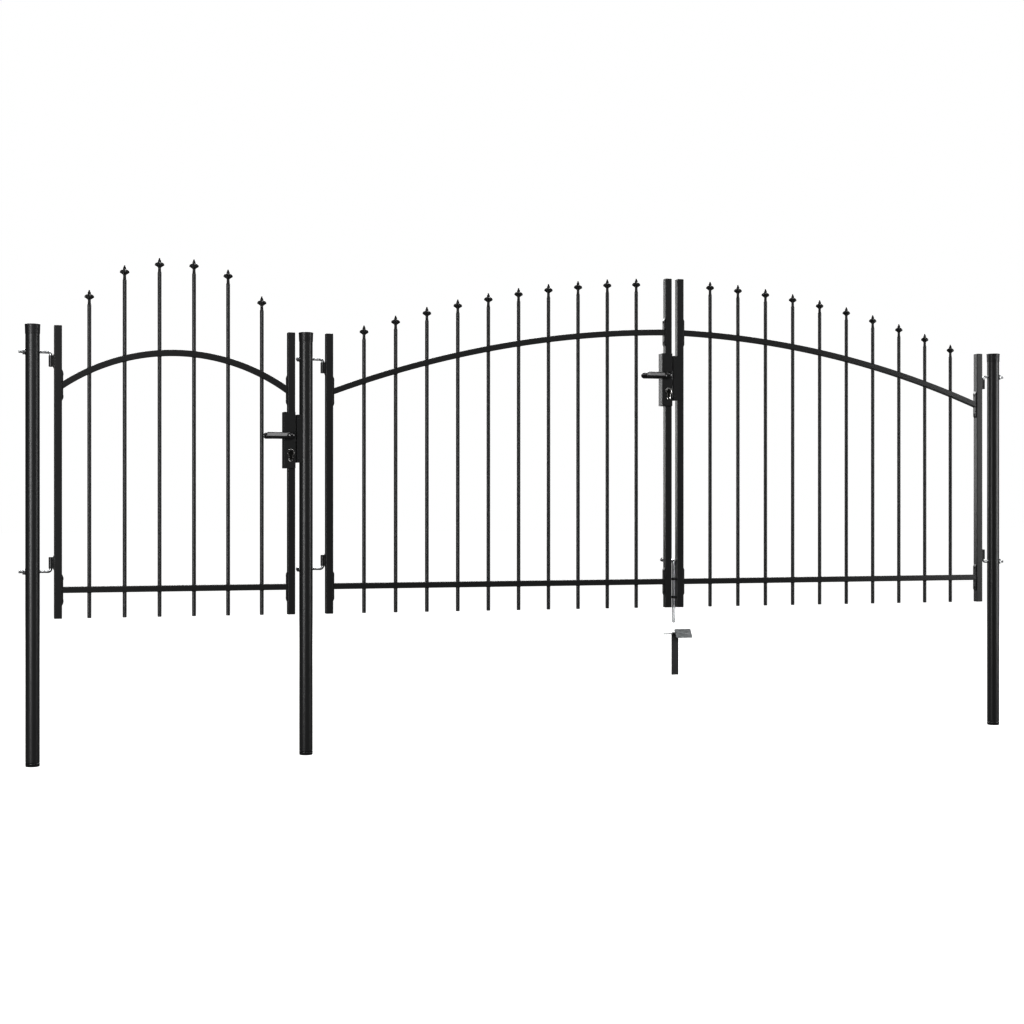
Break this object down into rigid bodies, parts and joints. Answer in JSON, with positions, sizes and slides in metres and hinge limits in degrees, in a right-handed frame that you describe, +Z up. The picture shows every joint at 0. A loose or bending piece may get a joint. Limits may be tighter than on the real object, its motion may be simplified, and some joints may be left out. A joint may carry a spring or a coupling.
{
  "type": "steel walk gate and double drive gate on three posts",
  "caption": "Black steel gate set with arched rails and spear-tipped bars: a walk gate beside a double drive gate, hung on round posts with lever locks, a drop bolt and a ground stop.",
  "frame": {"origin": "centre of the middle post's foot face", "axes": "+X along the gate towards the drive gate, +Y away from the street side, +Z up the posts"},
  "size_m": [4.098, 0.164, 1.863],
  "materials": {
    "coat": "black powder coat, semi-gloss with a fine orange-peel",
    "plastic": "black moulded plastic, satin",
    "handle_plastic": "black plastic, glossy",
    "zinc": "zinc plated steel, light grey",
    "nickel": "nickel plated, satin",
    "flap_steel": "dull galvanised sheet"
  },
  "bodies": {
    "posts": {"left_post": "coat", "middle_post": "coat", "right_post": "coat", "left_post_cap": "plastic", "middle_post_cap": "plastic", "right_post_cap": "plastic", "walk_hinge_bolts": "zinc", "left_hinge_bolts": "zinc", "right_hinge_bolts": "zinc", "walk_hinge_nuts": "zinc", "left_hinge_nuts": "zinc", "right_hinge_nuts": "zinc", "walk_keep": "coat", "stop_stake": "coat"},
    "walk_leaf": {"walk_hinge_stile": "coat", "walk_latch_stile": "coat", "walk_panel": "coat", "walk_finials": "coat", "walk_stile_caps": "plastic", "walk_hinge_eyes": "coat", "walk_lock_case": "coat", "walk_key_plates": "nickel", "walk_lock_cylinders": "nickel"},
    "left_leaf": {"left_hinge_stile": "coat", "left_meeting_stile": "coat", "left_panel": "coat", "left_finials": "coat", "left_stile_caps": "plastic", "left_hinge_eyes": "coat", "left_lock_case": "coat", "left_key_plates": "nickel", "left_lock_cylinders": "nickel"},
    "right_leaf": {"right_hinge_stile": "coat", "right_meeting_stile": "coat", "right_panel": "coat", "right_finials": "coat", "right_stile_caps": "plastic", "right_hinge_eyes": "coat", "right_keep": "coat", "bolt_guides": "coat"},
    "walk_handle": {"walk_levers": "handle_plastic"},
    "left_handle": {"left_levers": "handle_plastic"},
    "drop_bolt": {"drop_bolt_rod": "zinc", "drop_bolt_sleeve": "handle_plastic"},
    "flap": {"stop_flap": "flap_steel"}
  },
  "joints": [
    {"name": "walk_swing", "type": "hinge", "parent": "posts", "child": "walk_leaf", "pos_m": [-0.9355, 0, 1.468], "axis": [0, 0, 1], "range_deg": [0, 90]},
    {"name": "left_swing", "type": "hinge", "parent": "posts", "child": "left_leaf", "pos_m": [0.0645, 0, 1.468], "axis": [0, 0, 1], "range_deg": [0, 90]},
    {"name": "right_swing", "type": "hinge", "parent": "posts", "child": "right_leaf", "pos_m": [2.9495, 0, 1.468], "axis": [0, 0, -1], "range_deg": [0, 90]},
    {"name": "walk_lever", "type": "hinge", "parent": "walk_leaf", "child": "walk_handle", "pos_m": [-0.061, 0, 1.209], "axis": [0, -1, 0], "range_deg": [0, 40], "stiffness_Nm_per_rad": 0.8, "springref_deg": -34.38},
    {"name": "left_lever", "type": "hinge", "parent": "left_leaf", "child": "left_handle", "pos_m": [1.477, 0, 1.472], "axis": [0, -1, 0], "range_deg": [0, 40], "stiffness_Nm_per_rad": 0.8, "springref_deg": -34.38},
    {"name": "bolt_drop", "type": "slide", "parent": "right_leaf", "child": "drop_bolt", "axis": [0, 0, -1], "range_m": [0, 0.055]},
    {"name": "flap_tilt", "type": "hinge", "parent": "posts", "child": "flap", "pos_m": [1.51, -0.0245, 0.427], "axis": [1, 0, 0], "range_deg": [0, 35]}
  ]
}
